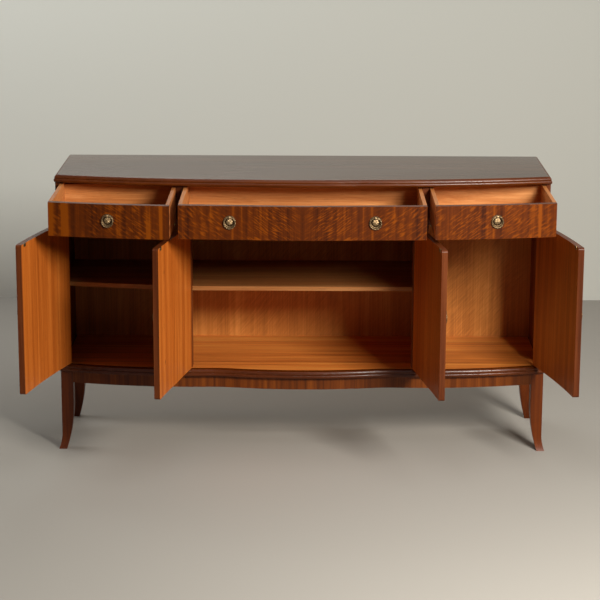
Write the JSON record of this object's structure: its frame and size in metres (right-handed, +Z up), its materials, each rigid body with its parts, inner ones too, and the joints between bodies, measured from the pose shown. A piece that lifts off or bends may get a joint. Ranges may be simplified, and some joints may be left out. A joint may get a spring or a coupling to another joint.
{
  "type": "sideboard",
  "caption": "Serpentine-fronted wooden sideboard on sabre legs, with a moulded top, ring-pull drawers drawn out above hinged cupboard doors standing open.",
  "frame": {"origin": "on the floor, midway along the width, and midway between the back edge and the front corners of the top", "axes": "+X along the front to the viewer's right, +Y from the front to the back, +Z up"},
  "size_m": [1.6571, 0.7848, 0.877],
  "materials": {
    "mahogany_top": "dark polished mahogany",
    "mahogany_case": "polished mahogany",
    "mahogany_legs": "polished mahogany",
    "mahogany_doors": "figured mahogany veneer",
    "mahogany_fronts": "figured mahogany veneer",
    "carcase_inner": "plain mahogany",
    "back_board": "plain board",
    "secondary_wood": "plain softwood",
    "drawer_lining": "pale waxed wood",
    "pull_brass": "antique brass",
    "hinge_brass": "dull brass"
  },
  "bodies": {
    "carcase": {"top_board": "mahogany_top", "bottom_board": "mahogany_case", "end_panel_left": "mahogany_case", "end_panel_right": "mahogany_case", "partition_left": "carcase_inner", "partition_right": "carcase_inner", "hinge_posts": "carcase_inner", "back_panel": "back_board", "drawer_rails": "carcase_inner", "drawer_runners": "secondary_wood", "back_rails": "secondary_wood", "shelf_left": "carcase_inner", "shelf_centre": "carcase_inner", "shelf_bearers": "secondary_wood", "apron_front": "mahogany_case", "apron_ends": "mahogany_case", "apron_back": "mahogany_case", "leg_front_left": "mahogany_legs", "leg_front_right": "mahogany_legs", "leg_rear_left": "mahogany_legs", "leg_rear_right": "mahogany_legs", "corner_blocks": "secondary_wood", "hinge_leaves": "hinge_brass", "door_catches": "hinge_brass"},
    "door_outer_left": {"door_outer_left": "mahogany_doors", "door_outer_left_fittings": "pull_brass"},
    "door_outer_left_ring": {"door_outer_left_ring": "pull_brass"},
    "door_inner_left": {"door_inner_left": "mahogany_doors", "door_inner_left_fittings": "pull_brass"},
    "door_inner_left_ring": {"door_inner_left_ring": "pull_brass"},
    "door_inner_right": {"door_inner_right": "mahogany_doors", "door_inner_right_fittings": "pull_brass"},
    "door_inner_right_ring": {"door_inner_right_ring": "pull_brass"},
    "door_outer_right": {"door_outer_right": "mahogany_doors", "door_outer_right_fittings": "pull_brass"},
    "door_outer_right_ring": {"door_outer_right_ring": "pull_brass"},
    "drawer_left": {"drawer_left_front": "mahogany_fronts", "drawer_left_sides": "drawer_lining", "drawer_left_back": "drawer_lining", "drawer_left_bottom": "drawer_lining", "drawer_left_pull_plates": "pull_brass"},
    "drawer_left_ring": {"drawer_left_ring": "pull_brass"},
    "drawer_centre": {"drawer_centre_front": "mahogany_fronts", "drawer_centre_sides": "drawer_lining", "drawer_centre_back": "drawer_lining", "drawer_centre_bottom": "drawer_lining", "drawer_centre_pull_plates": "pull_brass"},
    "drawer_centre_left_ring": {"drawer_centre_left_ring": "pull_brass"},
    "drawer_centre_right_ring": {"drawer_centre_right_ring": "pull_brass"},
    "drawer_right": {"drawer_right_front": "mahogany_fronts", "drawer_right_sides": "drawer_lining", "drawer_right_back": "drawer_lining", "drawer_right_bottom": "drawer_lining", "drawer_right_pull_plates": "pull_brass"},
    "drawer_right_ring": {"drawer_right_ring": "pull_brass"}
  },
  "joints": [
    {"name": "door_outer_left_swing", "type": "hinge", "parent": "carcase", "child": "door_outer_left", "pos_m": [-0.74075, -0.18113, 0.507], "axis": [0, 0, -1], "range_deg": [-96.7, 8.3]},
    {"name": "door_outer_left_ring_lift", "type": "hinge", "parent": "door_outer_left", "child": "door_outer_left_ring", "pos_m": [-0.83038, -0.50982, 0.5435], "axis": [0.2026, 0.9793, 0], "range_deg": [0, 90]},
    {"name": "door_inner_left_swing", "type": "hinge", "parent": "carcase", "child": "door_inner_left", "pos_m": [-0.36225, -0.2347, 0.507], "axis": [0, 0, -1], "range_deg": [-99.3, 5.7]},
    {"name": "door_inner_left_ring_lift", "type": "hinge", "parent": "door_inner_left", "child": "door_inner_left_ring", "pos_m": [-0.43062, -0.55607, 0.5435], "axis": [0.1768, 0.9842, 0], "range_deg": [0, 90]},
    {"name": "door_inner_right_swing", "type": "hinge", "parent": "carcase", "child": "door_inner_right", "pos_m": [0.36225, -0.2347, 0.507], "axis": [0, 0, 1], "range_deg": [-97.1, 7.9]},
    {"name": "door_inner_right_ring_lift", "type": "hinge", "parent": "door_inner_right", "child": "door_inner_right_ring", "pos_m": [0.41823, -0.55845, 0.5435], "axis": [0.1389, -0.9903, 0], "range_deg": [0, 90]},
    {"name": "door_outer_right_swing", "type": "hinge", "parent": "carcase", "child": "door_outer_right", "pos_m": [0.74075, -0.18113, 0.507], "axis": [0, 0, 1], "range_deg": [-94.3, 10.7]},
    {"name": "door_outer_right_ring_lift", "type": "hinge", "parent": "door_outer_right", "child": "door_outer_right_ring", "pos_m": [0.81653, -0.51328, 0.5435], "axis": [0.1614, -0.9869, 0], "range_deg": [0, 90]},
    {"name": "drawer_left_slide", "type": "slide", "parent": "carcase", "child": "drawer_left", "axis": [0, -1, 0], "range_m": [-0.2996, 0.01]},
    {"name": "drawer_left_ring_lift", "type": "hinge", "parent": "drawer_left", "child": "drawer_left_ring", "pos_m": [-0.56858, -0.51209, 0.8141], "axis": [-0.9893, 0.1457, 0], "range_deg": [0, 90]},
    {"name": "drawer_centre_slide", "type": "slide", "parent": "carcase", "child": "drawer_centre", "axis": [0, -1, 0], "range_m": [-0.2857, 0.01]},
    {"name": "drawer_centre_left_ring_lift", "type": "hinge", "parent": "drawer_centre", "child": "drawer_centre_left_ring", "pos_m": [-0.21207, -0.52763, 0.8141], "axis": [-0.9998, 0.0186, 0], "range_deg": [0, 90]},
    {"name": "drawer_centre_right_ring_lift", "type": "hinge", "parent": "drawer_centre", "child": "drawer_centre_right_ring", "pos_m": [0.21207, -0.52763, 0.8141], "axis": [-0.9998, -0.0186, 0], "range_deg": [0, 90]},
    {"name": "drawer_right_slide", "type": "slide", "parent": "carcase", "child": "drawer_right", "axis": [0, -1, 0], "range_m": [-0.2848, 0.01]},
    {"name": "drawer_right_ring_lift", "type": "hinge", "parent": "drawer_right", "child": "drawer_right_ring", "pos_m": [0.56858, -0.49729, 0.8141], "axis": [-0.9893, -0.1457, 0], "range_deg": [0, 90]}
  ]
}
